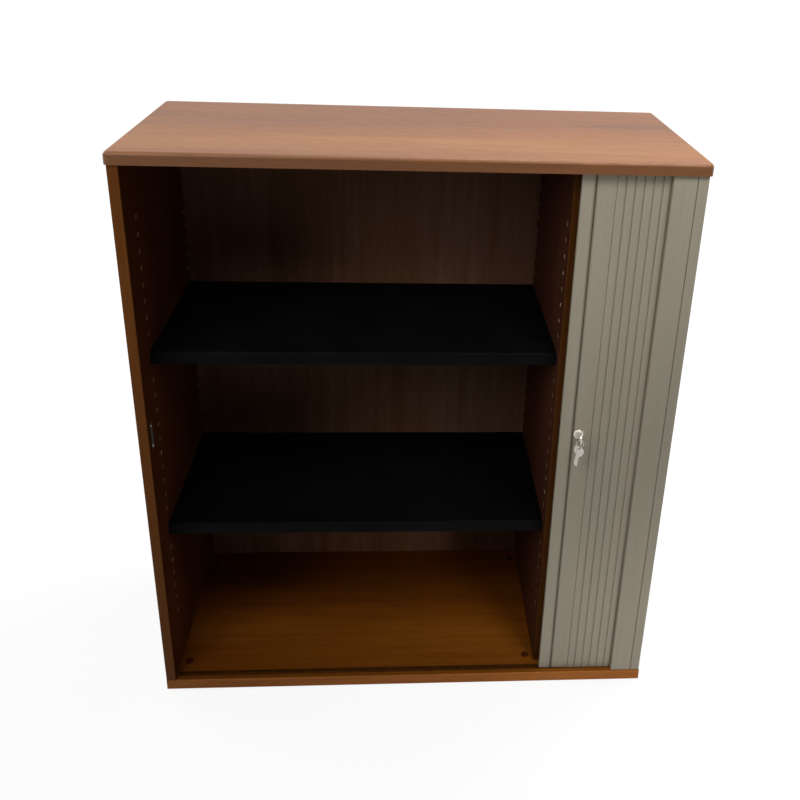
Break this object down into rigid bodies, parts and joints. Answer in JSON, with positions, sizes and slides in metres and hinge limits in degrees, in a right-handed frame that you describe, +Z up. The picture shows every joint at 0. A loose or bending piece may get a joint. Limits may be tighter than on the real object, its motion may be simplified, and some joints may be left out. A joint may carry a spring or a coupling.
{
  "type": "tambour door cabinet",
  "caption": "Office cabinet in cherry laminate with a silver sideways roller shutter parked open, black steel shelves, and a lock with its key in the leading profile.",
  "frame": {"origin": "on the ground, in the middle of the bounding box", "axes": "+X to the cabinet's right as seen from the front, +Y to its back, +Z up"},
  "size_m": [1.008, 0.432, 1.154],
  "materials": {
    "cherry_laminate": "satin laminate",
    "silver_slat": "satin gloss",
    "silver_profile": "satin",
    "black_plastic": "matte",
    "black_steel": "fine powder coat",
    "zinc_steel": "zinc plated",
    "nickel": "bright nickel"
  },
  "bodies": {
    "carcass": {"top_panel": "cherry_laminate", "bottom_panel": "cherry_laminate", "left_side_panel": "cherry_laminate", "right_side_panel": "cherry_laminate", "back_panel": "cherry_laminate", "inner_liner": "cherry_laminate", "upper_guide_rail": "black_plastic", "lower_guide_rail": "black_plastic", "track_end_stops": "black_plastic", "front_post": "silver_profile", "shelf_upper": "black_steel", "shelf_lower": "black_steel", "shelf_pins": "zinc_steel", "strike_plate": "zinc_steel", "floor_caps": "black_plastic", "foot_inserts": "black_plastic", "stored_slats_side": "silver_slat", "stored_slats_back": "silver_slat", "stored_slats_liner": "silver_slat"},
    "shutter": {"lead_profile": "silver_profile", "lead_glide_lower": "black_plastic", "lead_glide_upper": "black_plastic", "slat_1": "silver_slat", "slat_2": "silver_slat", "slat_3": "silver_slat", "slat_4": "silver_slat", "slat_5": "silver_slat", "slat_6": "silver_slat", "lock_case": "zinc_steel", "lock_barrel": "nickel"},
    "lock_core": {"lock_plug": "nickel", "key": "nickel"},
    "lock_hook": {"hook_bolt": "zinc_steel"},
    "lock_link": {"lock_link": "zinc_steel"},
    "key_ring": {"key_ring": "nickel"},
    "spare_key": {"spare_key": "nickel"},
    "foot_front_left": {"foot_front_left": "black_plastic"},
    "foot_front_middle": {"foot_front_middle": "black_plastic"},
    "foot_front_right": {"foot_front_right": "black_plastic"},
    "foot_back_left": {"foot_back_left": "black_plastic"},
    "foot_back_middle": {"foot_back_middle": "black_plastic"},
    "foot_back_right": {"foot_back_right": "black_plastic"}
  },
  "joints": [
    {"name": "shutter_slide", "type": "slide", "parent": "carcass", "child": "shutter", "axis": [-1, 0, 0], "range_m": [0, 0.762]},
    {"name": "key_turn", "type": "hinge", "parent": "shutter", "child": "lock_core", "pos_m": [0.319, -0.1867, 0.616], "axis": [0, 1, 0], "range_deg": [0, 90]},
    {"name": "hook_swing", "type": "hinge", "parent": "shutter", "child": "lock_hook", "pos_m": [0.297, -0.1761, 0.616], "axis": [0, 1, 0], "range_deg": [0, 90]},
    {"name": "link_turn", "type": "hinge", "parent": "lock_core", "child": "lock_link", "pos_m": [0.319, -0.1761, 0.623], "axis": [0, 1, 0], "range_deg": [-90, 0]},
    {"name": "ring_hang", "type": "hinge", "parent": "lock_core", "child": "key_ring", "pos_m": [0.319, -0.2074, 0.60903], "axis": [0, 1, 0], "range_deg": [-90, 0]},
    {"name": "spare_key_swing", "type": "hinge", "parent": "key_ring", "child": "spare_key", "pos_m": [0.319, -0.2074, 0.5998], "axis": [-1, 0, 0], "range_deg": [-10, 30]},
    {"name": "foot_front_left_turn", "type": "hinge", "parent": "carcass", "child": "foot_front_left", "pos_m": [-0.464, -0.149, 0], "axis": [0, 0, 1], "continuous": true},
    {"name": "foot_front_middle_turn", "type": "hinge", "parent": "carcass", "child": "foot_front_middle", "pos_m": [0.257, -0.149, 0], "axis": [0, 0, 1], "continuous": true},
    {"name": "foot_front_right_turn", "type": "hinge", "parent": "carcass", "child": "foot_front_right", "pos_m": [0.445, -0.149, 0], "axis": [0, 0, 1], "continuous": true},
    {"name": "foot_back_left_turn", "type": "hinge", "parent": "carcass", "child": "foot_back_left", "pos_m": [-0.464, 0.165, 0], "axis": [0, 0, 1], "continuous": true},
    {"name": "foot_back_middle_turn", "type": "hinge", "parent": "carcass", "child": "foot_back_middle", "pos_m": [0.257, 0.165, 0], "axis": [0, 0, 1], "continuous": true},
    {"name": "foot_back_right_turn", "type": "hinge", "parent": "carcass", "child": "foot_back_right", "pos_m": [0.445, 0.165, 0], "axis": [0, 0, 1], "continuous": true}
  ],
  "couplings": [
    {"joint": "hook_swing", "follows": "key_turn", "ratio": 1},
    {"joint": "link_turn", "follows": "key_turn", "ratio": -1},
    {"joint": "ring_hang", "follows": "key_turn", "ratio": -1}
  ]
}
